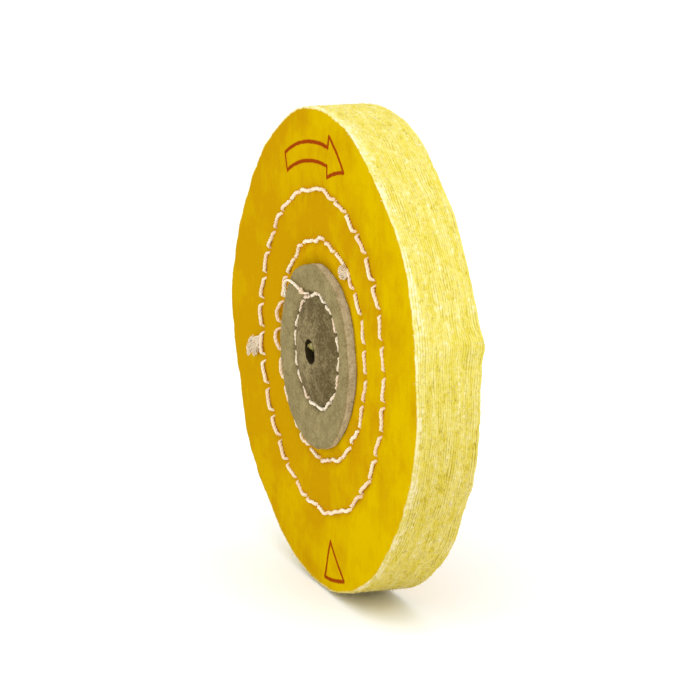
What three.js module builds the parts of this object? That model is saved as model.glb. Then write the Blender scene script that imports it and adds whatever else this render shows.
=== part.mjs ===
// A stitched cotton buffing wheel with leather washers at its centre, for a tapered polishing spindle.
// Thirty discs of treated cotton lie face to face and are sewn through in three rings: two through the
// cloth alone and one through the washers. Each ring is a lockstitch, so it has a needle thread on the
// front and a bobbin thread on the back. The sewing pulls the middle of the stack tight, and the plies
// stand loose at the rim, so the wheel is thinner at its centre than at its edge.
//
// Millimetres. The wheel turns about +Y, its front looks along -Y, and the origin is the middle of the bore.
import * as THREE from "three";

// The wheel
const WHEEL_RADIUS = 38.1; // a 3 inch wheel
const BORE_RADIUS = 1.9; // pin hole for a tapered spindle
const PLY_COUNT = 30;
const SEWN_WIDTH = 8.8; // the stack between the washers, where the thread pulls it tight
const PLY_GAP = 0.03; // air left between two plies
const ROUND_STEPS = 36;

// The washers
const WASHER_RADIUS = 14.6;
const WASHER_THICKNESS = 1.8;
const WASHER_CHAMFER = 0.35;
const WASHER_CROWN = 0.8; // inside its sewing the leather puffs out by this much at the bore
const CROWN_FLAT = 1; // width of the crown's level top around the bore
const WASHER_GAP = 0.03; // between a washer and the cloth under it
const GROOVE_DEPTH = 0.6; // the thread bites this far into the leather
const GROOVE_HALF_WIDTH = 0.55;

// The sewing
const THREAD_RADIUS = 0.35;
const THREAD_SIDES = 5;
const THREAD_GAP = 0.03; // between the thread and what it lies on
const ROWS = {
  outer: { radius: 25.7, stitches: 34, arch: 0.25 },
  inner: { radius: 17.6, stitches: 24, arch: 0.25 },
  washer: { radius: 9.05, stitches: 18, arch: 0.08 },
};

// Front and back, as the sign of Y that each one faces.
const FRONT = -1;
const BACK = 1;

const treatedCotton = new THREE.MeshStandardMaterial({
  color: 0xdab406,
  roughness: 0.8,
  metalness: 0,
});
const splitLeather = new THREE.MeshStandardMaterial({
  color: 0x9c9066,
  roughness: 0.95,
  metalness: 0,
});
const waxedThread = new THREE.MeshStandardMaterial({
  color: 0xe8d8b8,
  roughness: 0.75,
  metalness: 0,
});

// Half the stack's width at chosen radii: flat between the washers, opening out to the last ring of sewing,
// and nearly flat again from there to the loose rim.
const STACK_PROFILE = [
  [BORE_RADIUS, SEWN_WIDTH / 2],
  [WASHER_RADIUS + 0.3, SEWN_WIDTH / 2],
  [ROWS.outer.radius, 5.15],
  [WHEEL_RADIUS, 5.25],
];
function halfStack(radius) {
  const next = STACK_PROFILE.findIndex(([r]) => r >= radius);
  const [r0, half0] = STACK_PROFILE[Math.max(next - 1, 0)];
  const [r1, half1] = STACK_PROFILE[next];
  const share = r1 > r0 ? (radius - r0) / (r1 - r0) : 0;
  return half0 + share * (half1 - half0);
}

// Where the top of a number of plies, counted from the front, lies at a radius.
function plyLevel(plies, radius) {
  return ((2 * plies) / PLY_COUNT - 1) * halfStack(radius);
}

// Turns a closed outline of [radius, y] points about the wheel's axis.
function turned(outline, steps) {
  const closed = [...outline, outline[0]].map(
    ([radius, y]) => new THREE.Vector2(radius, y),
  );
  return new THREE.LatheGeometry(closed, steps);
}

// One cloth disc, between two levels of the stack.
function plyGeometry(index) {
  const radii = STACK_PROFILE.map(([radius]) => radius);
  const under = radii.map((r) => [r, plyLevel(index, r) + PLY_GAP / 2]);
  const over = radii.map((r) => [r, plyLevel(index + 1, r) - PLY_GAP / 2]);
  return turned([...under, ...over.reverse()], ROUND_STEPS);
}

// A leather washer on one side of the stack, with a groove where its ring of sewing bites in, and crowned
// between that ring and the bore.
const WASHER_BASE = SEWN_WIDTH / 2 + WASHER_GAP;
const WASHER_FACE = WASHER_BASE + WASHER_THICKNESS;
function washerGeometry(side) {
  const grooveFloor = WASHER_FACE - GROOVE_DEPTH;
  const grooveIn = ROWS.washer.radius - GROOVE_HALF_WIDTH;
  const grooveOut = ROWS.washer.radius + GROOVE_HALF_WIDTH;
  const outline = [
    [BORE_RADIUS, WASHER_BASE],
    [WASHER_RADIUS, WASHER_BASE],
    [WASHER_RADIUS, WASHER_FACE - WASHER_CHAMFER],
    [WASHER_RADIUS - WASHER_CHAMFER, WASHER_FACE],
    [grooveOut, WASHER_FACE],
    [grooveOut, grooveFloor],
    [grooveIn, grooveFloor],
    [grooveIn, WASHER_FACE],
    [BORE_RADIUS + CROWN_FLAT, WASHER_FACE + WASHER_CROWN],
    [BORE_RADIUS, WASHER_FACE + WASHER_CROWN],
  ];
  const placed = outline.map(([radius, y]) => [radius, side * y]);
  return turned(side === FRONT ? placed.reverse() : placed, ROUND_STEPS);
}

// One ring of sewing on one face: a thread that lies on the face at each needle hole and arches between.
function threadGeometry(row, side, faceY) {
  const middle = faceY + THREAD_GAP + THREAD_RADIUS;
  const section = Array.from({ length: THREAD_SIDES }, (_, corner) => {
    const turn = (2 * Math.PI * corner) / THREAD_SIDES;
    return [
      row.radius + THREAD_RADIUS * Math.cos(turn),
      side * middle + THREAD_RADIUS * Math.sin(turn),
    ];
  });
  const geometry = turned(section, 2 * row.stitches);
  const points = geometry.getAttribute("position");
  for (let i = 0; i < points.count; i++) {
    const angle = Math.atan2(points.getX(i), points.getZ(i));
    const lift = (row.arch * (1 - Math.cos(row.stitches * angle))) / 2;
    points.setY(i, points.getY(i) + side * lift);
  }
  return geometry;
}

const wheel = new THREE.Group();

function addPiece(name, geometry, material) {
  const mesh = new THREE.Mesh(geometry, material);
  mesh.name = name;
  wheel.add(mesh);
}

for (let index = 0; index < PLY_COUNT; index++) {
  const number = String(index + 1).padStart(2, "0");
  addPiece("cloth_ply_" + number, plyGeometry(index), treatedCotton);
}

addPiece("leather_washer_front", washerGeometry(FRONT), splitLeather);
addPiece("leather_washer_back", washerGeometry(BACK), splitLeather);

for (const [name, row] of Object.entries(ROWS)) {
  const faceY =
    row === ROWS.washer ? WASHER_FACE - GROOVE_DEPTH : halfStack(row.radius);
  addPiece(
    "needle_thread_" + name + "_row",
    threadGeometry(row, FRONT, faceY),
    waxedThread,
  );
  addPiece(
    "bobbin_thread_" + name + "_row",
    threadGeometry(row, BACK, faceY),
    waxedThread,
  );
}

export default wheel;
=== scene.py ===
# A stitched cotton buffing wheel standing on its rim: thirty plies of yellow treated cotton, sewn through in
# three rings, with a washer of split leather on each face around the spindle hole. The wheel turns about Y,
# its printed front looks along -Y, and Z is up. Lengths are in metres, worked out from millimetres.
import math
import random

import bpy
from mathutils import Matrix, Vector


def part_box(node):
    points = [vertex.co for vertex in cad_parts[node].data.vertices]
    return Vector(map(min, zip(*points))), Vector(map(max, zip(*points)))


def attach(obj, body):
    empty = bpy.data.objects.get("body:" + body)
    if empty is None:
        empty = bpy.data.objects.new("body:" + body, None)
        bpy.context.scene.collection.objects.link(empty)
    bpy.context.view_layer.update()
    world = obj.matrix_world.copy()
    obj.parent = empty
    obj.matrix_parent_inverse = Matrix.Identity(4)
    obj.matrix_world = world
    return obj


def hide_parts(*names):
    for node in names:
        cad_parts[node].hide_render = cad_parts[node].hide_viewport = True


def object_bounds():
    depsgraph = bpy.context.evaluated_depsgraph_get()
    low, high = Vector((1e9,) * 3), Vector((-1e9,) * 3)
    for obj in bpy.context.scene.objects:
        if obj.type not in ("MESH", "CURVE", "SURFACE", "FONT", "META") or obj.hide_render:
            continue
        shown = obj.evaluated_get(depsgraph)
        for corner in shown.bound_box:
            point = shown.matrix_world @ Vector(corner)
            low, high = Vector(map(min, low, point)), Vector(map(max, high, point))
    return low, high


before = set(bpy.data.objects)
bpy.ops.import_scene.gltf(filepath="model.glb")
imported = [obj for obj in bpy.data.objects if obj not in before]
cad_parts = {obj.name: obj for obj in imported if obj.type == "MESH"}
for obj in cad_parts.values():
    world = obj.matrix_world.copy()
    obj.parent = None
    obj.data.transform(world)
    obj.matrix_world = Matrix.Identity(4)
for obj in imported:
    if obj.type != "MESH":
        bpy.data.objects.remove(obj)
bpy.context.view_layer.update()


# --- Camera -------------------------------------------------------------------------------------------------
# A long lens from well round to the right of the printed face, a little above the hub.
MM = 0.001
camera_turn = math.radians(67.2)
camera_rise = math.radians(14.1)
camera_roll = math.radians(1.08)
camera_distance = 500 * MM
camera_aside = Vector((0.14 * MM, 0.27 * MM))
camera_lens = 162  # on a sensor 36 mm wide

towards_camera = Vector((
    math.sin(camera_turn) * math.cos(camera_rise),
    -math.cos(camera_turn) * math.cos(camera_rise),
    math.sin(camera_rise),
))
level_right = Vector((math.cos(camera_turn), math.sin(camera_turn), 0))
level_up = towards_camera.cross(level_right)
camera_right = math.cos(camera_roll) * level_right + math.sin(camera_roll) * level_up
camera_up = math.cos(camera_roll) * level_up - math.sin(camera_roll) * level_right
camera_place = (
    camera_distance * towards_camera
    - camera_aside.x * camera_right
    - camera_aside.y * camera_up
)

camera = bpy.data.objects.new("camera", bpy.data.cameras.new("camera"))
bpy.context.scene.collection.objects.link(camera)
camera.data.sensor_width = 36
camera.data.lens = camera_lens
camera.data.clip_end = 20
camera_axes = Matrix((camera_right, camera_up, towards_camera)).transposed()
camera.matrix_world = Matrix.Translation(camera_place) @ camera_axes.to_4x4()
bpy.context.scene.camera = camera


# --- Cloth plies --------------------------------------------------------------------------------------------
# Thirty discs of cotton sheeting, dipped in a yellow wax and resin and dried flat, so that their faces are
# smooth and stiff. They are cut in one stack, and the cut edge stays raw: pale, open and furry.
wheel_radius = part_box("cloth_ply_01")[1].x
bore_radius = 1.9 * MM
ply_count = 30
sewn_width = 8.8 * MM  # the stack between the washers
rim_width = 10.5 * MM
rows = {
    "outer": {"radius": 25.7 * MM, "stitches": 34, "pinch": 0.22 * MM, "spread": 1.7 * MM},
    "inner": {"radius": 17.6 * MM, "stitches": 24, "pinch": 0.50 * MM, "spread": 1.1 * MM},
    "washer": {"radius": 9.05 * MM, "stitches": 18, "pinch": 0, "spread": 1.0 * MM},
}
shoulder_half = 5.2 * MM  # half the stack's width just outside the washers
shoulder_rise = 0.20 * MM  # by which it opens out further towards the outer row
# Between the rows the cloth bellies: where, how high and how wide.
swells = [(21.6 * MM, 0.10 * MM, 2.0 * MM), (31.0 * MM, 0.12 * MM, 3.4 * MM)]
dimple_depth = 0.30 * MM  # at each needle hole
dimple_width = 0.75 * MM
pucker_height = 0.07 * MM
pucker_reach = 3.2 * MM
ripple = 0.22 * MM  # slow unevenness of the whole stack's faces
lean_reach = 0.22 * MM  # how far the loose plies lean either way at the rim
left_lean = (math.radians(275), 0.5 * MM, 0.40)  # where they all lean forward, how far, spread in radians
# The cut edge: how far the whole stack, each ply and each yarn end stray in and out, and the pits' depth.
outline_stray = (-0.35 * MM, 0.30 * MM)
ply_stray = (-0.045 * MM, 0.035 * MM)
yarn_stray = (-0.10 * MM, 0.08 * MM)
pit_depth = 0.22 * MM
wall_bulge = 0.10 * MM
raw_reach = 0.45 * MM  # how far the untreated look goes in from the cut edge
# In the bore a flap of the front ply is torn loose and bent inwards.
flap_turn = math.radians(295)
flap_spread = 0.95  # radians
flap_share = 0.075  # of the ply's width
flap_depth = 2.5 * MM
flap_overhang = 0.35 * MM
# Where the cut is not round: turn from the top in degrees, how far out at the front and at the back, and
# spread in radians. The first and the last are one bulge, given for both ends of the full turn.
cut_errors = [
    (-13, 0.35 * MM, 0.35 * MM, 0.30),
    (30, -0.55 * MM, -0.55 * MM, 0.20),
    (76.5, 0, 1.20 * MM, 0.045),  # a knob of cloth that the knife missed
    (167, 0.50 * MM, 0.80 * MM, 0.35),
    (207, -0.45 * MM, -0.45 * MM, 0.22),
    (347, 0.35 * MM, 0.35 * MM, 0.30),
]


def linear(shade):
    """Turns an sRGB hex colour to the linear colour that a shader takes."""
    parts = [int(shade[i : i + 2], 16) / 255 for i in (1, 3, 5)]
    return [p / 12.92 if p <= 0.04045 else ((p + 0.055) / 1.055) ** 2.4 for p in parts] + [1]


def add(tree, kind, feeds=(), **settings):
    """Adds a node with its settings. feeds gives its inputs, in order or by name.

    An input takes a value, a socket, or a node, whose first output is used.
    """
    node = tree.nodes.new(kind)
    for name, value in settings.items():
        setattr(node, name, value)
    for place, feed in feeds.items() if isinstance(feeds, dict) else enumerate(feeds):
        if isinstance(feed, bpy.types.Node):
            feed = feed.outputs[0]
        if isinstance(feed, bpy.types.NodeSocket):
            tree.links.new(feed, node.inputs[place])
        elif feed is not None:
            node.inputs[place].default_value = feed
    return node


def compute(tree, operation, *feeds, **settings):
    """A sum, a product or another operation on one to three numbers."""
    return add(tree, "ShaderNodeMath", feeds, operation=operation, **settings)


def ranged(tree, value, from_low, from_high, to_low, to_high, **settings):
    """Carries value from one range over to another, and holds it within the second."""
    return add(tree, "ShaderNodeMapRange", [value, from_low, from_high, to_low, to_high], **settings)


def noise(tree, place, scale, detail=2, roughness=0.5):
    """Smooth noise, whose lumps are about 1 / scale across."""
    feeds = {"Vector": place, "Scale": scale, "Detail": detail, "Roughness": roughness}
    return add(tree, "ShaderNodeTexNoise", feeds)


def blend(tree, share, first, second, **settings):
    """The first colour, with that share of the second."""
    feeds = {0: share, 6: first, 7: second}
    return add(tree, "ShaderNodeMix", feeds, data_type="RGBA", **settings).outputs[2]


def new_tree(name, inputs):
    """A geometry tree with named inputs, and the node that gives them."""
    tree = bpy.data.node_groups.new(name, "GeometryNodeTree")
    for label, kind in inputs.items():
        tree.interface.new_socket(label, in_out="INPUT", socket_type=kind)
    tree.interface.new_socket("Geometry", in_out="OUTPUT", socket_type="NodeSocketGeometry")
    return tree, tree.nodes.new("NodeGroupInput").outputs


def made(name, tree, inputs, body="root"):
    """Runs a tree, keeps its result as a plain mesh and drops the modifier."""
    piece = bpy.data.objects.new(name, bpy.data.meshes.new(name))
    bpy.context.scene.collection.objects.link(piece)
    modifier = piece.modifiers.new(tree.name, "NODES")
    modifier.node_group = tree
    sockets = {s.name: s.identifier for s in tree.interface.items_tree if s.in_out == "INPUT"}
    for label, value in inputs.items():
        modifier[sockets[label]] = value
    seen = bpy.context.evaluated_depsgraph_get()
    mesh = bpy.data.meshes.new_from_object(
        piece.evaluated_get(seen), preserve_all_data_layers=True, depsgraph=seen
    )
    piece.modifiers.clear()
    piece.data = mesh
    mesh.name = name
    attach(piece, body)
    return piece


def round_body(tree, round_steps, front_steps, wall_steps, back_steps):
    """A closed ring of steps round the wheel by steps round its own section, still without its shape.

    The section runs out along the front face, back along the outer wall and in along the back face. Returns
    the mesh, the turn round the wheel in radians, and three shares from 0 to 1: out, wall and back.
    """
    index = add(tree, "GeometryNodeInputIndex")
    full = compute(tree, "DIVIDE", 2 * math.pi, round_steps)
    turn = compute(tree, "MULTIPLY", index, full)
    path = add(tree, "GeometryNodeCurvePrimitiveCircle", {"Resolution": round_steps, "Radius": 1})
    path_turn = add(tree, "GeometryNodeCaptureAttribute", [path])
    path_turn.capture_items.new("FLOAT", "turn")
    tree.links.new(turn.outputs[0], path_turn.inputs[1])

    wall_start = compute(tree, "SUBTRACT", front_steps, 1)
    back_start = compute(tree, "ADD", wall_start, wall_steps)
    lap_count = compute(tree, "ADD", back_start, back_steps)
    back_last = compute(tree, "SUBTRACT", back_steps, 1)
    section = add(tree, "GeometryNodeCurvePrimitiveCircle", {"Resolution": lap_count, "Radius": 0.1})
    section_lap = add(tree, "GeometryNodeCaptureAttribute", [section])
    section_lap.capture_items.new("FLOAT", "lap")
    tree.links.new(index.outputs[0], section_lap.inputs[1])
    mesh = add(tree, "GeometryNodeCurveToMesh",
               {"Curve": path_turn.outputs[0], "Profile Curve": section_lap.outputs[0]})
    lap = section_lap.outputs[1]

    out = compute(tree, "DIVIDE", lap, wall_start, use_clamp=True)
    past_front = compute(tree, "SUBTRACT", lap, wall_start)
    wall = compute(tree, "DIVIDE", past_front, wall_steps, use_clamp=True)
    past_wall = compute(tree, "SUBTRACT", lap, back_start)
    back = compute(tree, "DIVIDE", past_wall, back_last, use_clamp=True)
    return mesh, path_turn.outputs[1], out, wall, back


def around(tree, turn, reach, depth):
    """A point on a circle of that reach, for noise that closes on itself round the wheel."""
    sine = compute(tree, "SINE", turn)
    cosine = compute(tree, "COSINE", turn)
    across = compute(tree, "MULTIPLY", sine, reach)
    upward = compute(tree, "MULTIPLY", cosine, reach)
    return add(tree, "ShaderNodeCombineXYZ", [across, depth, upward])


def bump_at(tree, value, centre, height, spread):
    """A rounded rise of that height where value is near centre."""
    offset = compute(tree, "SUBTRACT", value, centre)
    scaled = compute(tree, "DIVIDE", offset, spread)
    squared = compute(tree, "MULTIPLY", scaled, scaled)
    exponent = compute(tree, "MULTIPLY", squared, -1)
    fading = compute(tree, "POWER", math.e, exponent)
    return compute(tree, "MULTIPLY", fading, height)


def half_stack(tree, radius):
    """Half the stack's width at a radius: tight between the washers, pinched under each row."""
    puffed = ranged(tree, radius, 13.2 * MM, 15.6 * MM, sewn_width / 2, shoulder_half)
    opening = ranged(tree, radius, 16 * MM, 26 * MM, 0, shoulder_rise)
    rim_change = rim_width / 2 - shoulder_half - shoulder_rise
    rim = ranged(tree, radius, 30 * MM, wheel_radius, 0, rim_change)
    total = compute(tree, "ADD", puffed, opening)
    total = compute(tree, "ADD", total, rim)
    for row in rows.values():
        if row["pinch"]:
            pinch = bump_at(tree, radius, row["radius"], -row["pinch"], row["spread"])
            total = compute(tree, "ADD", total, pinch)
    for centre, height, spread in swells:
        swell = bump_at(tree, radius, centre, height, spread)
        total = compute(tree, "ADD", total, swell)
    return total


def needle_dimples(tree, turn, radius, row, depth, width):
    """How far the cloth or leather is drawn in around each needle hole of a row."""
    phase = compute(tree, "MULTIPLY", turn, row["stitches"])
    wave = compute(tree, "COSINE", phase)
    raised = compute(tree, "MULTIPLY_ADD", wave, 0.5, 0.5)
    spot = compute(tree, "POWER", raised, 5)
    ring = bump_at(tree, radius, row["radius"], depth, width)
    return compute(tree, "MULTIPLY", spot, ring)


# The ply's rule. Ply is its number from the front, from 0. Face Detail is 1 on the front and back plies,
# whose dimples and puckers show, and 0 within the stack. Bore Flap is 1 if the bore's edge is torn.
tree, given = new_tree("cloth_ply", {
    "Ply": "NodeSocketFloat",
    "Round Steps": "NodeSocketInt",
    "Front Steps": "NodeSocketInt",
    "Back Steps": "NodeSocketInt",
    "Face Detail": "NodeSocketFloat",
    "Bore Flap": "NodeSocketFloat",
    "Tone": "NodeSocketFloat",
    "Cloth": "NodeSocketMaterial",
})
mesh, turn, out, wall, back = round_body(
    tree, given["Round Steps"], given["Front Steps"], 3, given["Back Steps"]
)
ply_seed = compute(tree, "MULTIPLY", given["Ply"], 1.37)

# The cut edge: one outline for the whole stack, a wander of each ply's own, ragged yarn ends, and pits. On a
# circle of reach 1, noise has lumps 38 mm over its scale: 17, 4 and 0.45 mm here.
on_circle = around(tree, turn, 1, 0)
outline_noise = noise(tree, on_circle, 2.2, 1)
outline = ranged(tree, outline_noise, 0.25, 0.75, *outline_stray)
on_own_circle = around(tree, turn, 1, ply_seed)
wander_noise = noise(tree, on_own_circle, 9, 2)
wander = ranged(tree, wander_noise, 0.3, 0.7, *ply_stray)
ragged_noise = noise(tree, on_own_circle, 85, 2)
ragged = ranged(tree, ragged_noise, 0.3, 0.7, *yarn_stray)
across_rim = compute(tree, "MULTIPLY", given["Ply"], rim_width / ply_count)
pit_place = around(tree, turn, wheel_radius, across_rim)
pit_noise = noise(tree, pit_place, 650, 2)
pitted = ranged(tree, pit_noise, 0.60, 0.72, 0, -pit_depth)
frayed = compute(tree, "ADD", wander, ragged)
own = compute(tree, "ADD", frayed, pitted)
cut = compute(tree, "ADD", outline, own)
for degrees, at_front, at_back, spread in cut_errors:
    error = ranged(tree, given["Ply"], 0, ply_count - 1, at_front, at_back)
    strayed = bump_at(tree, turn, math.radians(degrees), error, spread)
    cut = compute(tree, "ADD", cut, strayed)
edge_radius = compute(tree, "ADD", cut, wheel_radius)

# How far out each point lies, between the bore and the cut edge.
share = compute(tree, "SUBTRACT", out, back)
reach = compute(tree, "SUBTRACT", edge_radius, bore_radius)
full_radius = compute(tree, "MULTIPLY_ADD", share, reach, bore_radius)
torn_turn = bump_at(tree, turn, flap_turn, given["Bore Flap"], flap_spread)
torn_share = ranged(tree, share, 0, flap_share, 1, 0)
torn = compute(tree, "MULTIPLY", torn_turn, torn_share)
against_wall = compute(tree, "MULTIPLY", torn, 2, use_clamp=True)
flap_radius = bore_radius - flap_overhang
flat_radius = add(tree, "ShaderNodeMix", {0: against_wall, 2: full_radius, 3: flap_radius}, data_type="FLOAT")
wall_rest = compute(tree, "SUBTRACT", 1, wall)
wall_round = compute(tree, "MULTIPLY", wall, wall_rest)
radius = compute(tree, "MULTIPLY_ADD", wall_round, wall_bulge, flat_radius)

# How far back: a level of the stack, from -1 at its front to 1 at its back, times half its width.
level_up_to = compute(tree, "ADD", given["Ply"], wall)
level = compute(tree, "MULTIPLY_ADD", level_up_to, 2 / ply_count, -1)
half = half_stack(tree, radius)
for name in ("outer", "inner"):
    dimples = needle_dimples(tree, turn, radius, rows[name], -dimple_depth, dimple_width)
    shown = compute(tree, "MULTIPLY", dimples, given["Face Detail"])
    half = compute(tree, "ADD", half, shown)
    count = rows[name]["stitches"]
    pucker_noise = noise(tree, around(tree, turn, 1, 4.1), 7)
    jitter = compute(tree, "MULTIPLY", pucker_noise, 5)
    phase = compute(tree, "MULTIPLY_ADD", turn, count, jitter)
    fold = compute(tree, "COSINE", phase)
    reach_out = bump_at(tree, radius, rows[name]["radius"], pucker_height, pucker_reach)
    pucker = compute(tree, "MULTIPLY", fold, reach_out)
    shown = compute(tree, "MULTIPLY", pucker, given["Face Detail"])
    half = compute(tree, "ADD", half, shown)
flat_place = around(tree, turn, radius, 0)
slow_noise = noise(tree, flat_place, 70, 1)
slow = ranged(tree, slow_noise, 0.3, 0.7, -ripple, ripple)
outward = ranged(tree, radius, 12 * MM, 30 * MM, 0, 1)
slow_shown = compute(tree, "MULTIPLY", slow, outward)
half = compute(tree, "ADD", half, slow_shown)
forward = compute(tree, "MULTIPLY", level, half)

# Loose at the rim, the plies lean together in clumps.
lean_depth = compute(tree, "MULTIPLY", given["Ply"], 0.024)
lean_place = around(tree, turn, 1, lean_depth)
lean_noise = noise(tree, lean_place, 5.5, 2)
clumps = ranged(tree, lean_noise, 0.3, 0.7, -lean_reach, lean_reach)
left_turn, left_reach, left_spread = left_lean
all_forward = bump_at(tree, turn, left_turn, -left_reach, left_spread)
lean = compute(tree, "ADD", clumps, all_forward)
loose = ranged(tree, radius, 29 * MM, wheel_radius, 0, 1, interpolation_type="SMOOTHSTEP")
leaned = compute(tree, "MULTIPLY_ADD", lean, loose, forward)
flapped = compute(tree, "MULTIPLY_ADD", torn, -flap_depth, leaned)
place = around(tree, turn, radius, flapped)
shaped = add(tree, "GeometryNodeSetPosition", {"Geometry": mesh, "Position": place})

# What the dye and the knife leave on the surface, for the material.
rim_start = compute(tree, "SUBTRACT", edge_radius, raw_reach)
rim_raw = ranged(tree, radius, rim_start, edge_radius, 0, 1)
raw = compute(tree, "MAXIMUM", rim_raw, against_wall)
raised = ranged(tree, own, -0.35 * MM, 0.25 * MM, 0.05, 0.95)
band_depth = compute(tree, "MULTIPLY", given["Ply"], 0.05)
band_place = around(tree, turn, 1, band_depth)
band_noise = noise(tree, band_place, 7, 2)
band = ranged(tree, band_noise, 0.32, 0.68, -0.22, 0.22)
tone = compute(tree, "ADD", band, given["Tone"])
kept = shaped
for name, value in (("raw_edge", raw), ("raised", raised), ("tone", tone)):
    kept = add(tree, "GeometryNodeStoreNamedAttribute", {"Geometry": kept, "Name": name, "Value": value},
               data_type="FLOAT", domain="POINT")

# Furry yarn ends along the cut edge, bent over like hooks and turned at random.
fur_density = 8.0e6  # per square metre of the edge
fibre_path = add(tree, "GeometryNodeCurvePrimitiveBezierSegment", {
    "Resolution": 3,
    "Start": (0, 0, -0.1 * MM),
    "Start Handle": (0, 0, 0.12 * MM),
    "End Handle": (0.15 * MM, 0, 0.30 * MM),
    "End": (0.50 * MM, 0.12 * MM, 0.30 * MM),
})
fibre_section = add(tree, "GeometryNodeCurvePrimitiveCircle", {"Resolution": 3, "Radius": 0.035 * MM})
fibre = add(tree, "GeometryNodeCurveToMesh",
            {"Curve": fibre_path, "Profile Curve": fibre_section, "Fill Caps": True})
on_edge = add(tree, "FunctionNodeCompare", {"A": wall_round, "B": 0.05},
              data_type="FLOAT", operation="GREATER_THAN")
seed = compute(tree, "MULTIPLY", given["Ply"], 17)
roots = add(tree, "GeometryNodeDistributePointsOnFaces",
            {"Mesh": kept, "Selection": on_edge, "Density": fur_density, "Seed": seed})
tilt = add(tree, "FunctionNodeRandomValue",
           {"Min": (-1.25, -1.25, -3.2), "Max": (1.25, 1.25, 3.2), "Seed": seed}, data_type="FLOAT_VECTOR")
turned = add(tree, "FunctionNodeRotateRotation", [roots.outputs["Rotation"], tilt.outputs[0]],
             rotation_space="LOCAL")
size = add(tree, "FunctionNodeRandomValue", {"Min": 0.35, "Max": 1.0, "Seed": seed}, data_type="FLOAT")
fibres = add(tree, "GeometryNodeInstanceOnPoints", {
    "Points": roots.outputs[0], "Instance": fibre, "Rotation": turned, "Scale": size.outputs[1],
})
loose_ends = add(tree, "GeometryNodeRealizeInstances", [fibres])
for name, value in (("raw_edge", 1.0), ("raised", 1.0), ("tone", given["Tone"])):
    loose_ends = add(tree, "GeometryNodeStoreNamedAttribute",
                     {"Geometry": loose_ends, "Name": name, "Value": value},
                     data_type="FLOAT", domain="POINT")
both = add(tree, "GeometryNodeJoinGeometry")
tree.links.new(loose_ends.outputs[0], both.inputs[0])
tree.links.new(kept.outputs[0], both.inputs[0])
smooth = add(tree, "GeometryNodeSetShadeSmooth", [both])
plain = add(tree, "GeometryNodeRealizeInstances", [smooth])
finished = add(tree, "GeometryNodeSetMaterial", {"Geometry": plain, "Material": given["Cloth"]})
add(tree, "NodeGroupOutput", [finished])
ply_tree = tree

# Cotton sheeting under wax and resin: dull and even, amber where the resin filled it, with the weave only
# just showing. The face is painted deeper amber towards the left as painted shade, and resin-orange along the
# sewn rows as painted shade in their grooves. Its raw edge is untreated fibre, pale at the yarn ends, with
# painted shade of a deeper yellow in the pits and a painted shade that darkens it low down. Scales are per
# metre, so 130 gives patches 8 mm across and 1400 gives specks of 0.7 mm.
amber = linear("#ccab00")
deep_amber = linear("#bc8f04")
groove_shade_orange = linear("#bf8008")
lemon = linear("#dccd54")
pale_lemon = linear("#e6da80")
pit_shade_yellow = linear("#d3c343")
cream = linear("#f2e8b6")
ink = linear("#93300a")
low_shade_tint = linear("#f0ebe0")
thread_spacing = 0.45 * MM  # muslin's yarns are finer: this is the closest spacing that still shows


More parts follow.
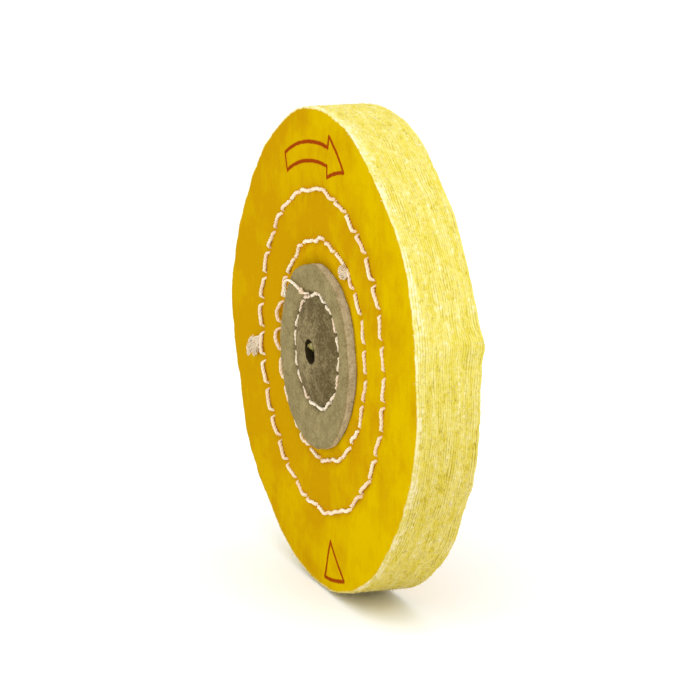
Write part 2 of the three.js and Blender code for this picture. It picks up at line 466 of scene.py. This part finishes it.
def cotton(name, marks=None):
    """The treated cotton. marks, if given, takes the tree and a place, and says how much ink lies there."""
    material = bpy.data.materials.new(name)
    material.use_nodes = True
    tree = material.node_tree
    shader = tree.nodes["Principled BSDF"]
    place = add(tree, "ShaderNodeTexCoord").outputs["Object"]
    patches = noise(tree, place, 130, 4, 0.6)
    streaks_place = add(tree, "ShaderNodeVectorMath", {0: place, 1: (1, 1, 0.25)}, operation="MULTIPLY")
    streaks = noise(tree, streaks_place, 900, 3)
    depth = add(tree, "ShaderNodeMix", {0: 0.2, 2: patches, 3: streaks}, data_type="FLOAT")
    depth_range = ranged(tree, depth, 0.33, 0.60, 0, 1)
    spots = add(tree, "ShaderNodeSeparateXYZ", [place])
    # Painted shade: the face is coloured deeper amber towards the left, where less light falls on it.
    painted_left_shade = ranged(tree, spots.outputs[0], -34 * MM, 12 * MM, -0.75, 0.15)
    flat_place = add(tree, "ShaderNodeVectorMath", [place, (1, 0, 1)], operation="MULTIPLY")
    from_hub = add(tree, "ShaderNodeVectorMath", [flat_place], operation="LENGTH").outputs["Value"]
    sewn_zone = ranged(tree, from_hub, 24 * MM, 29 * MM, -0.45, 0)
    dye_and_painted_shade = compute(tree, "ADD", depth_range, painted_left_shade)
    dye_and_painted_shade = compute(tree, "ADD", dye_and_painted_shade, sewn_zone, use_clamp=True)
    face = blend(tree, dye_and_painted_shade, deep_amber, amber)
    # Painted shade: each sewn row gets a resin-orange band where the thread draws the cloth into a groove.
    for row in (rows["outer"], rows["inner"]):
        soak_and_groove_shade = bump_at(tree, from_hub, row["radius"], 0.55, 0.55 * MM)
        face = blend(tree, soak_and_groove_shade, face, groove_shade_orange)
    if marks:
        inked = marks(tree, place)
        face = blend(tree, inked, face, ink)

    raised = add(tree, "ShaderNodeAttribute", attribute_name="raised").outputs["Fac"]
    tone = add(tree, "ShaderNodeAttribute", attribute_name="tone").outputs["Fac"]
    raw = add(tree, "ShaderNodeAttribute", attribute_name="raw_edge").outputs["Fac"]
    specks = noise(tree, place, 1400, 3)
    uneven = compute(tree, "MULTIPLY_ADD", specks, 0.9, -0.45)
    height = compute(tree, "ADD", raised, uneven)
    toned = compute(tree, "ADD", height, tone)
    # Painted shade: where the cut edge lies further in, in the pits and on plies set back, the ramp gives a
    # darker, deeper yellow.
    edge = add(tree, "ShaderNodeValToRGB", [toned])
    ramp = edge.color_ramp
    ramp.elements[0].position = 0.05
    ramp.elements[0].color = pit_shade_yellow
    ramp.elements[1].position = 1
    ramp.elements[1].color = cream
    ramp.elements.new(0.36).color = lemon
    ramp.elements.new(0.78).color = pale_lemon
    # Painted shade: the raw edge is darkened towards the bottom, where less light falls.
    painted_low_shade = ranged(tree, spots.outputs[2], 12 * MM, -14 * MM, 0, 1)
    edge = blend(tree, painted_low_shade, edge, low_shade_tint, blend_type="MULTIPLY")
    fuzzy = compute(tree, "MULTIPLY_ADD", specks, 0.8, -0.4)
    raw_here = compute(tree, "ADD", raw, fuzzy)
    raw_share = ranged(tree, raw_here, 0.35, 0.75, 0, 1)
    colour = blend(tree, raw_share, face, edge)
    tree.links.new(colour, shader.inputs["Base Color"])
    roughness = ranged(tree, raw_share, 0, 1, 0.6, 1.0)
    tree.links.new(roughness.outputs[0], shader.inputs["Roughness"])

    yarns_per_metre = 2 * math.pi / thread_spacing
    weave_place = add(tree, "ShaderNodeVectorMath", {0: place, "Scale": yarns_per_metre}, operation="SCALE")
    yarns = add(tree, "ShaderNodeSeparateXYZ", [weave_place])
    warp = compute(tree, "SINE", yarns.outputs[0])
    weft = compute(tree, "SINE", yarns.outputs[2])
    cloth_weave = compute(tree, "MULTIPLY", warp, weft)
    relief = compute(tree, "MULTIPLY_ADD", cloth_weave, 0.25, specks)
    bump = add(tree, "ShaderNodeBump", {"Strength": 0.5, "Distance": 0.08 * MM, "Height": relief})
    tree.links.new(bump.outputs[0], shader.inputs["Normal"])
    shader.inputs["Specular IOR Level"].default_value = 0
    return material


# The maker's print on the front ply, stamped in red-brown ink: an arrow round the top for the way the wheel
# turns, and a plain triangle at the bottom. Corners are in millimetres along the arc and out from its middle.
arrow_centre = math.radians(-6)
arrow_radius = 31.6 * MM
arrow_corners = [(-12.5, -1.5), (5.5, -1.5), (5.5, -3.3), (12.5, 0), (5.5, 3.3), (5.5, 1.5), (-12.5, 1.5)]
triangle_centre = math.radians(11.5)
triangle_radius = 33.6 * MM
triangle_corners = [(-3.9, -3.0), (3.9, -3.0), (0, 3.3)]
stroke_half_width = 0.30
stroke_bleed = 0.10


def outline_gap(tree, point, corners):
    """How far a point is from a closed outline of straight strokes."""
    nearest = None
    for start, end in zip(corners, corners[1:] + corners[:1]):
        run = Vector((end[0] - start[0], end[1] - start[1], 0))
        offset = add(tree, "ShaderNodeVectorMath", [point, (*start, 0)], operation="SUBTRACT")
        share = add(tree, "ShaderNodeVectorMath", [offset, run / run.length_squared], operation="DOT_PRODUCT")
        held = add(tree, "ShaderNodeClamp", [share.outputs["Value"]])
        foot = add(tree, "ShaderNodeVectorMath", {0: run, "Scale": held}, operation="SCALE")
        gap = add(tree, "ShaderNodeVectorMath", [offset, foot], operation="DISTANCE").outputs["Value"]
        nearest = gap if nearest is None else compute(tree, "MINIMUM", nearest, gap)
    return nearest


def stamped_marks(tree, place):
    """How much ink lies at a point of the front ply."""
    spots = add(tree, "ShaderNodeSeparateXYZ", [place])
    across, upward = spots.outputs[0], spots.outputs[2]
    downward = compute(tree, "MULTIPLY", upward, -1)
    flat_place = add(tree, "ShaderNodeVectorMath", [place, (1, 0, 1)], operation="MULTIPLY")
    from_hub = add(tree, "ShaderNodeVectorMath", [flat_place], operation="LENGTH").outputs["Value"]
    gaps = []
    for toward, centre, middle, outward, corners in (
        (upward, arrow_centre, arrow_radius, 1, arrow_corners),
        (downward, triangle_centre, triangle_radius, -1, triangle_corners),
    ):
        angle = compute(tree, "ARCTAN2", across, toward)
        arc = compute(tree, "SUBTRACT", angle, centre)
        along = compute(tree, "MULTIPLY", arc, middle / MM)
        beyond = compute(tree, "SUBTRACT", from_hub, middle)
        out = compute(tree, "MULTIPLY", beyond, outward / MM)
        gaps.append(outline_gap(tree, add(tree, "ShaderNodeCombineXYZ", [along, out]), corners))
    gap = compute(tree, "MINIMUM", *gaps)
    bleed = noise(tree, place, 1500, 2)
    ragged = compute(tree, "MULTIPLY_ADD", bleed, 0.26, -0.13)
    edge = compute(tree, "ADD", gap, ragged)
    sharp, faded = stroke_half_width - 0.8 * stroke_bleed, stroke_half_width + stroke_bleed
    return ranged(tree, edge, sharp, faded, 0.95, 0)


plain_cotton = cotton("treated_cotton")
printed_cotton = cotton("printed_treated_cotton", stamped_marks)
random.seed(30)
for index in range(ply_count):
    name = f"cloth_ply_{index + 1:02d}"
    from_front = index
    from_back = ply_count - 1 - index
    settings = {
        "Ply": float(index),
        "Round Steps": 720,
        "Front Steps": {0: 90, 1: 36}.get(from_front, 7),  # the hidden plies are drawn coarser
        "Back Steps": {0: 90, 1: 36}.get(from_back, 7),
        "Face Detail": 1.0 if 0 in (from_front, from_back) else 0.0,
        "Bore Flap": 1.0 if from_front == 0 else 0.0,
        "Tone": (0.35, 0.30, 0.22, 0.12)[index] if index < 4 else random.uniform(-0.05, 0.05),
        "Cloth": printed_cotton if index == 0 else plain_cotton,
    }
    ply = made("buff_ply_" + name[-2:], ply_tree, settings)
    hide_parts(name)


# --- Leather washers ----------------------------------------------------------------------------------------
# A disc of split leather on each face keeps the spindle from tearing the cloth. It is cut by hand, suede on
# both sides, and sewn near its middle: the thread bites in, and inside the ring the leather puffs out.
washer_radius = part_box("leather_washer_front")[1].x
washer_face = 6.23 * MM  # how far the flat of the leather stands from the wheel's middle
washer_crown = 0.8 * MM
thread_bite = 0.53 * MM
washer_centre = Vector((-1.05 * MM, -1.05 * MM))  # it is sewn on a little low and to the left
washer_narrower = 0.8 * MM  # and is cut a little taller than it is wide
hand_stray = 0.45 * MM  # how unevenly the knife ran
flat_top_cut = 0.25 * MM
crown_foot = 9.0 * MM
crown_top = 3.4 * MM
groove_width = 0.75 * MM
hole_depth = 0.55 * MM
hole_width = 0.5 * MM
rim_rounding = 0.25 * MM
nap_height = 0.05 * MM
lump_height = 0.12 * MM
wall_fluff = 0.08 * MM

tree, given = new_tree("leather_washer", {
    "Side": "NodeSocketFloat",
    "Cut": "NodeSocketFloat",
    "Leather": "NodeSocketMaterial",
})
mesh, turn, out, wall, back = round_body(tree, 420, 110, 10, 2)
share = compute(tree, "SUBTRACT", out, back)

# The knife's outline: not quite round, and flat at the top.
knife_place = around(tree, turn, 1, given["Cut"])
hand_noise = noise(tree, knife_place, 2.1, 2)
hand = ranged(tree, hand_noise, 0.3, 0.7, 0, hand_stray)
upward = compute(tree, "COSINE", turn)
rightward = compute(tree, "SINE", turn)
flat_top = bump_at(tree, upward, 1, -flat_top_cut, 0.06)
cut_back = compute(tree, "ADD", hand, flat_top)
lowered = compute(tree, "MULTIPLY_ADD", upward, washer_centre.y, cut_back)
narrowing = compute(tree, "MULTIPLY_ADD", rightward, -washer_narrower, washer_centre.x)
aside = compute(tree, "MULTIPLY_ADD", rightward, narrowing, lowered)
rim = compute(tree, "ADD", aside, washer_radius)
reach = compute(tree, "SUBTRACT", rim, bore_radius)
radius = compute(tree, "MULTIPLY_ADD", share, reach, bore_radius)

# The face: crown, stitch groove, needle holes, rounded rim, nap and lumps.
crown = ranged(tree, radius, crown_foot, crown_top, 0, washer_crown, interpolation_type="SMOOTHSTEP")
groove = bump_at(tree, radius, rows["washer"]["radius"], -thread_bite, groove_width)
holes = needle_dimples(tree, turn, radius, rows["washer"], -hole_depth, hole_width)
rounded = bump_at(tree, share, 1, -rim_rounding, 0.02)
flat_place = around(tree, turn, radius, given["Cut"])
nap_noise = noise(tree, flat_place, 1100, 2)
nap = ranged(tree, nap_noise, 0.3, 0.7, -nap_height, nap_height)
lumps_noise = noise(tree, flat_place, 260, 2)
lumps = ranged(tree, lumps_noise, 0.3, 0.7, -lump_height, lump_height)
height = crown
for part in (groove, holes, rounded, nap, lumps):
    height = compute(tree, "ADD", height, part)
top = compute(tree, "ADD", height, washer_face)
under = compute(tree, "ADD", half_stack(tree, radius), 0.03 * MM)
raised = add(tree, "ShaderNodeMix", {0: wall, 2: top, 3: under}, data_type="FLOAT")
forward = compute(tree, "MULTIPLY", raised, given["Side"])
wall_place = around(tree, turn, radius, forward)
fluff_noise = noise(tree, wall_place, 900, 2)
fluff = ranged(tree, fluff_noise, 0.3, 0.7, -wall_fluff, wall_fluff)
wall_rest = compute(tree, "SUBTRACT", 1, wall)
wall_round = compute(tree, "MULTIPLY", wall, wall_rest)
wall_push = compute(tree, "MULTIPLY", wall_round, 4)
fluff_here = compute(tree, "MULTIPLY", fluff, wall_push)
rough_radius = compute(tree, "ADD", radius, fluff_here)
shaped = add(tree, "GeometryNodeSetPosition",
             {"Geometry": mesh, "Position": around(tree, turn, rough_radius, forward)})
kept = shaped
for name, value in (("side_wall", wall), ("pricked", holes)):
    kept = add(tree, "GeometryNodeStoreNamedAttribute", {"Geometry": kept, "Name": name, "Value": value},
               data_type="FLOAT", domain="POINT")
smooth = add(tree, "GeometryNodeSetShadeSmooth", [kept])
plain = add(tree, "GeometryNodeRealizeInstances", [smooth])
finished = add(tree, "GeometryNodeSetMaterial", {"Geometry": plain, "Material": given["Leather"]})
add(tree, "NodeGroupOutput", [finished])
washer_tree = tree

# Split leather: dull, napped and grey-olive, with no grain side. The cut wall is paler where the fibres stand
# open, and the crown inside the sewing is darker. On the crown a lighter spot at the left of the bore is
# painted light, with painted shade beyond it; the stitch groove, needle holes and bore are darkened as
# painted shade.
leather_face = linear("#988a60")
leather_dark = linear("#7b6e48")
crown_colour = linear("#92835d")
crown_dark = linear("#5c4f32")
wall_colour = linear("#c3b698")
# A dark brown for painted shade in the stitch groove, the needle holes and the bore.
recess_shade_brown = linear("#2c2413")

leather = bpy.data.materials.new("split_leather")
leather.use_nodes = True
tree = leather.node_tree
shader = tree.nodes["Principled BSDF"]
place = add(tree, "ShaderNodeTexCoord").outputs["Object"]
nap = noise(tree, place, 2600, 3)
patches = noise(tree, place, 420, 4, 0.65)
mixed = add(tree, "ShaderNodeMix", {0: 0.5, 2: nap, 3: patches}, data_type="FLOAT")
mottle = ranged(tree, mixed, 0.38, 0.60, 0, 1)
# Painted light and shade: the crown is lighter at a spot left of the bore and darker away from it, as light
# from the left falls on its dome.
crown_light_spot = (-2.6 * MM, -washer_face, -0.3 * MM)
from_crown_light = add(tree, "ShaderNodeVectorMath", {0: place, 1: crown_light_spot}, operation="DISTANCE")
crown_light = ranged(tree, from_crown_light.outputs["Value"], 3.4 * MM, 8.0 * MM, 0.10, -0.42)
lit_crown_mottle = compute(tree, "ADD", mottle, crown_light, use_clamp=True)
face = blend(tree, mottle, leather_dark, leather_face)
middle = blend(tree, lit_crown_mottle, crown_dark, crown_colour)
flat_place = add(tree, "ShaderNodeVectorMath", {0: place, 1: (1, 0, 1)}, operation="MULTIPLY")
from_bore = add(tree, "ShaderNodeVectorMath", [flat_place], operation="LENGTH").outputs["Value"]
ring = rows["washer"]["radius"]
in_ring = ranged(tree, from_bore, ring - 0.9 * MM, ring - 0.1 * MM, 1, 0)
zones = blend(tree, in_ring, face, middle)
# Painted shade: a dark line along the stitch groove, where the leather bulges over the thread.
groove_shade = bump_at(tree, from_bore, ring, 0.65, 0.55 * MM)
zones = blend(tree, groove_shade, zones, recess_shade_brown)
wall_share = add(tree, "ShaderNodeAttribute", attribute_name="side_wall").outputs["Fac"]
on_wall = ranged(tree, wall_share, 0.02, 0.14, 0, 1)
open_fibre = ranged(tree, mixed, 0.38, 0.56, 0.45, 1)
pale_wall = compute(tree, "MULTIPLY", on_wall, open_fibre)
walled = blend(tree, pale_wall, zones, wall_colour)
pricked = add(tree, "ShaderNodeAttribute", attribute_name="pricked").outputs["Fac"]
# Painted shade in the needle holes.
hole_shade = ranged(tree, pricked, -0.25 * MM, -0.50 * MM, 0, 0.9)
holed = blend(tree, hole_shade, walled, recess_shade_brown)
bump = add(tree, "ShaderNodeBump", {"Strength": 0.6, "Distance": 0.15 * MM, "Height": mixed})
tree.links.new(bump.outputs[0], shader.inputs["Normal"])
# Painted shade: the bore is coloured dark brown.
bore_shade = ranged(tree, from_bore, bore_radius + 0.05 * MM, bore_radius + 0.25 * MM, 1, 0)
bored = blend(tree, bore_shade, holed, recess_shade_brown)
tree.links.new(bored, shader.inputs["Base Color"])
shader.inputs["Roughness"].default_value = 1.0
shader.inputs["Specular IOR Level"].default_value = 0.05

for name, side, cut in (("front", -1.0, 3.7), ("back", 1.0, 8.2)):
    washer = made("suede_washer_" + name, washer_tree, {"Side": side, "Cut": cut, "Leather": leather})
    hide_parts("leather_washer_" + name)


# --- Sewing -------------------------------------------------------------------------------------------------
# Each ring is one lockstitch in thick three-strand cotton thread. On a face the thread rises from a needle
# hole, lies over the cloth and dives into the next hole, where it locks with the thread of the other face.
strand_count = 3
strand_radius = 0.17 * MM
strand_offset = 0.14 * MM  # from the thread's middle to a strand's
twist_length = 2.1 * MM
dip = 1.3 * MM  # how deep the thread dives at a needle hole
stitch_slant = 0.45 * MM  # each stitch lies a little across its ring
slack_turn = math.radians(267)  # the sewing is slack at the left
slack_spread = 0.42  # radians

tree, given = new_tree("sewn_ring", {
    "Ring Radius": "NodeSocketFloat",
    "Stitches": "NodeSocketFloat",
    "Side": "NodeSocketFloat",
    "On Leather": "NodeSocketFloat",
    "Arch": "NodeSocketFloat",
    "Slack": "NodeSocketFloat",
    "Wander": "NodeSocketFloat",
    "Twists": "NodeSocketInt",
    "Seed": "NodeSocketFloat",
    "Thread": "NodeSocketMaterial",
})
ring_steps = 1200
index = add(tree, "GeometryNodeInputIndex")
turn = compute(tree, "MULTIPLY", index, 2 * math.pi / ring_steps)
phase = compute(tree, "MULTIPLY", turn, given["Stitches"])
half_phase = compute(tree, "MULTIPLY", phase, 0.5)
swing_sign = compute(tree, "SINE", half_phase)
swing = compute(tree, "ABSOLUTE", swing_sign)
rise = ranged(tree, swing, 0.05, 0.55, 0, 1, interpolation_type="SMOOTHSTEP")
height = compute(tree, "ADD", given["Arch"], dip)
lift = compute(tree, "MULTIPLY_ADD", rise, height, -dip)
left_side = bump_at(tree, turn, slack_turn, given["Slack"], slack_spread)
slack = compute(tree, "MULTIPLY", left_side, swing)
lifted = compute(tree, "ADD", lift, slack)
wander_place = around(tree, turn, 1, given["Seed"])
wander_noise = noise(tree, wander_place, 6, 2)
aside = ranged(tree, wander_noise, 0.3, 0.7, -1, 1)
wandered = compute(tree, "MULTIPLY_ADD", aside, given["Wander"], given["Ring Radius"])
from_end_to_end = compute(tree, "COSINE", half_phase)
slant = compute(tree, "MULTIPLY", from_end_to_end, swing)
slanted = compute(tree, "MULTIPLY_ADD", slant, stitch_slant, wandered)
slack_out = compute(tree, "MULTIPLY_ADD", slack, 1.1, slanted)
cloth_level = half_stack(tree, given["Ring Radius"])
surface = compute(tree, "ADD", cloth_level, given["On Leather"])
level = compute(tree, "ADD", surface, lifted)
twisting = compute(tree, "MULTIPLY", turn, given["Twists"])
cord_section = add(tree, "GeometryNodeCurvePrimitiveCircle", {"Resolution": 7, "Radius": strand_radius})
strands = add(tree, "GeometryNodeJoinGeometry")
for strand in range(strand_count):
    swirl = compute(tree, "ADD", twisting, 2 * math.pi * strand / strand_count)
    swirl_out = compute(tree, "COSINE", swirl)
    swirl_up = compute(tree, "SINE", swirl)
    strand_out = compute(tree, "MULTIPLY_ADD", swirl_out, strand_offset, slack_out)
    strand_up = compute(tree, "MULTIPLY_ADD", swirl_up, strand_offset, level)
    forward = compute(tree, "MULTIPLY", strand_up, given["Side"])
    circle = add(tree, "GeometryNodeCurvePrimitiveCircle", {"Resolution": ring_steps, "Radius": 1})
    routed = add(tree, "GeometryNodeSetPosition",
                 {"Geometry": circle, "Position": around(tree, turn, strand_out, forward)})
    tube = add(tree, "GeometryNodeCurveToMesh", {"Curve": routed, "Profile Curve": cord_section})
    tree.links.new(tube.outputs[0], strands.inputs[0])
smooth = add(tree, "GeometryNodeSetShadeSmooth", [strands])
plain = add(tree, "GeometryNodeRealizeInstances", [smooth])
finished = add(tree, "GeometryNodeSetMaterial", {"Geometry": plain, "Material": given["Thread"]})
add(tree, "NodeGroupOutput", [finished])
ring_tree = tree

# Soft-spun cotton thread, undyed: cream, a little pink where wax from the cloth has soaked in, and furry.
thread_cream = linear("#f1e4c8")
thread_pink = linear("#e8cbaa")

thread = bpy.data.materials.new("cotton_thread")
thread.use_nodes = True
tree = thread.node_tree
shader = tree.nodes["Principled BSDF"]
place = add(tree, "ShaderNodeTexCoord").outputs["Object"]
soak_and_groove_shade = noise(tree, place, 260, 3)
soaked_share = ranged(tree, soak_and_groove_shade, 0.38, 0.66, 0, 1)
colour = blend(tree, soaked_share, thread_cream, thread_pink)
tree.links.new(colour, shader.inputs["Base Color"])
fur = noise(tree, place, 6000, 2)
bump = add(tree, "ShaderNodeBump", {"Strength": 0.5, "Distance": 0.05 * MM, "Height": fur})
tree.links.new(bump.outputs[0], shader.inputs["Normal"])
shader.inputs["Roughness"].default_value = 0.85
shader.inputs["Sheen Weight"].default_value = 0.3

leather_lift = washer_face - thread_bite - sewn_width / 2
ring_ways = {  # how far the thread rises over the face, stands slack and wanders off its ring
    "outer": {"Arch": 0.24 * MM, "On Leather": 0.0, "Slack": 0.12 * MM, "Wander": 0.22 * MM},
    "inner": {"Arch": 0.24 * MM, "On Leather": 0.0, "Slack": 0.75 * MM, "Wander": 0.40 * MM},
    "washer": {"Arch": 0.04 * MM, "On Leather": leather_lift, "Slack": 0.0, "Wander": 0.12 * MM},
}
for side, kind in ((-1.0, "needle"), (1.0, "bobbin")):
    for row_name, row in rows.items():
        settings = {
            "Ring Radius": row["radius"],
            "Stitches": float(row["stitches"]),
            "Side": side,
            "Twists": round(2 * math.pi * row["radius"] / twist_length),
            "Seed": side + row["stitches"],
            "Thread": thread,
            **ring_ways[row_name],
        }
        ring = made(f"{kind}_stitches_{row_name}_row", ring_tree, settings)
        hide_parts(f"{kind}_thread_{row_name}_row")


# --- Loose thread ends --------------------------------------------------------------------------------------
# Where a ring of sewing starts and stops, the thread is snipped and its strands open into fluff. The washer's
# ring leaves a longer tail, which lies across the leather and over its edge.
def on_wheel(radius, degrees, height):
    """A point on the front, from its distance to the hub, turn from the top and height off the middle."""
    turn = math.radians(degrees)
    return Vector((radius * math.sin(turn), -height, radius * math.cos(turn)))


def thread_piece(name, lines, material):
    """A piece made of thin round threads. A line is its points, its radius at the root and at the tip."""
    curve = bpy.data.curves.new(name, "CURVE")
    curve.dimensions = "3D"
    curve.bevel_depth = 1
    curve.bevel_resolution = 1
    curve.use_fill_caps = True
    for points, root, tip in lines:
        spline = curve.splines.new("POLY")
        spline.points.add(len(points) - 1)
        for order, (bead, point) in enumerate(zip(spline.points, points)):
            bead.co = (*point, 1)
            bead.radius = root + (tip - root) * order / (len(points) - 1)
    drawn = bpy.data.objects.new(name, curve)
    bpy.context.scene.collection.objects.link(drawn)
    mesh = bpy.data.meshes.new_from_object(drawn.evaluated_get(bpy.context.evaluated_depsgraph_get()))
    bpy.data.objects.remove(drawn)
    mesh.name = name
    mesh.materials.clear()
    mesh.materials.append(material)
    piece = bpy.data.objects.new(name, mesh)
    bpy.context.scene.collection.objects.link(piece)
    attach(piece, "root")
    return piece


def smoothed(route, steps):
    """Points along a smooth curve through a route."""
    points = []
    for index in range(len(route) - 1):
        before = route[max(index - 1, 0)]
        after = route[min(index + 2, len(route) - 1)]
        start, end = route[index], route[index + 1]
        for step in range(steps):
            t = step / steps
            points.append(0.5 * (
                2 * start
                + t * (end - before)
                + t * t * (2 * before - 5 * start + 4 * end - after)
                + t * t * t * (3 * start - before - 3 * end + after)
            ))
    return points + [route[-1]]


tuft_count = 6
fluff_radii = (0.055 * MM, 0.035 * MM)  # at the root and at the tip: real fibres are finer still


def fluff_lines(root, middle, half_sizes, count):
    """Loose fibres that leave a root and curl through one of a few small tufts around a middle."""
    def somewhere(centre, share):
        way = Vector([random.gauss(0, 1) for _ in range(3)]).normalized()
        reach = share * random.random() ** 0.7
        return centre + reach * Vector([w * half for w, half in zip(way, half_sizes)])

    tufts = [somewhere(middle, 0.8) for _ in range(tuft_count)]
    lines = []
    for _ in range(count):
        tuft = random.choice(tufts)
        route = [root + 0.2 * MM * Vector([random.uniform(-1, 1) for _ in range(3)])]
        route += [somewhere(tuft, 0.55) for _ in range(4)]
        lines.append((smoothed(route, 4), *fluff_radii))
    return lines


# Teased-out cotton scatters light through its fibres, so a tuft is whiter and softer than the thread it ends.
teased_cotton = bpy.data.materials.new("teased_cotton")
teased_cotton.use_nodes = True
shader = teased_cotton.node_tree.nodes["Principled BSDF"]
shader.inputs["Base Color"].default_value = linear("#eedbbc")
shader.inputs["Roughness"].default_value = 1.0
shader.inputs["Subsurface Weight"].default_value = 0.4
shader.inputs["Subsurface Radius"].default_value = (1, 1, 1)
shader.inputs["Subsurface Scale"].default_value = 0.3 * MM

random.seed(7)
frayed_ends = {
    "outer": {
        "root": on_wheel(25.8 * MM, -98, 5.3 * MM),
        "middle": on_wheel(27.6 * MM, -101.5, 6.1 * MM),
        "half_sizes": (0.9 * MM, 1.1 * MM, 2.5 * MM),
        "count": 240,
    },
    "inner": {
        "root": on_wheel(18.0 * MM, 36, 5.0 * MM),
        "middle": on_wheel(17.4 * MM, 32, 5.55 * MM),
        "half_sizes": (0.7 * MM, 0.85 * MM, 1.3 * MM),
        "count": 130,
    },
}
for name, end in frayed_ends.items():
    thread_piece(f"frayed_end_{name}_row", fluff_lines(**end), teased_cotton)

# The tail leaves the washer's ring at its upper left.
tail_route = [
    on_wheel(9.3 * MM, -22, 6.1 * MM),
    on_wheel(9.7 * MM, -29, 6.5 * MM),
    on_wheel(11.0 * MM, -36, 6.6 * MM),
    on_wheel(12.6 * MM, -43, 6.6 * MM),
    on_wheel(14.1 * MM, -49, 6.6 * MM),
    on_wheel(15.3 * MM, -56, 6.3 * MM),
    on_wheel(15.8 * MM, -63, 5.8 * MM),
    on_wheel(16.0 * MM, -70, 5.3 * MM),
]
tail_steps = 12  # from one point of the route to the next
tail_twist_steps = 22
tail_fluff_sizes = (0.7 * MM, 0.3 * MM, 0.7 * MM)
middle_line = smoothed(tail_route, tail_steps)
tail_lines = []
for strand in range(strand_count):
    points = []
    for step, point in enumerate(middle_line):
        swirl = 2 * math.pi * (strand / strand_count + step / tail_twist_steps)
        points.append(point + strand_offset * Vector((math.cos(swirl), math.sin(swirl), 0)))
    tail_lines.append((points, strand_radius, strand_radius * 0.8))
tail_lines += fluff_lines(tail_route[1], on_wheel(9.9 * MM, -30, 6.6 * MM), tail_fluff_sizes, 50)
thread_piece("loose_tail_washer_row", tail_lines, thread)


# --- Studio -------------------------------------------------------------------------------------------------
# A pale sweep under the wheel, a pale room, and two large soft lights: one high in front, one to the right.
bpy.context.scene.view_settings.view_transform = "Standard"
floor_half = 3.0
floor_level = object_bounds()[0].z
floor_mesh = bpy.data.meshes.new("floor")
corners = [(x * floor_half, y * floor_half, floor_level) for x, y in ((-1, -1), (1, -1), (1, 1), (-1, 1))]
floor_mesh.from_pydata(corners, [], [(0, 1, 2, 3)])
floor = bpy.data.objects.new("floor", floor_mesh)
bpy.context.scene.collection.objects.link(floor)
paper = bpy.data.materials.new("pale_paper")
paper.use_nodes = True
paper.node_tree.nodes["Principled BSDF"].inputs["Base Color"].default_value = (1, 1, 1, 1)
paper.node_tree.nodes["Principled BSDF"].inputs["Roughness"].default_value = 0.9
floor_mesh.materials.append(paper)

world = bpy.data.worlds.new("pale_room")
world.use_nodes = True
world.node_tree.nodes["Background"].inputs["Color"].default_value = (1, 1, 1, 1)
world.node_tree.nodes["Background"].inputs["Strength"].default_value = 1.05
bpy.context.scene.world = world

for name, light_place, power in (
    ("front_softbox", Vector((-0.10, -0.50, 0.45)), 0.6),
    ("side_softbox", Vector((0.38, -0.05, 0.58)), 1.5),
):
    softbox = bpy.data.objects.new(name, bpy.data.lights.new(name, "AREA"))
    bpy.context.scene.collection.objects.link(softbox)
    softbox.data.shape = "SQUARE"
    softbox.data.size = 0.5
    softbox.data.energy = power
    aim = light_place.to_track_quat("Z", "Y").to_matrix().to_4x4()
    softbox.matrix_world = Matrix.Translation(light_place) @ aim
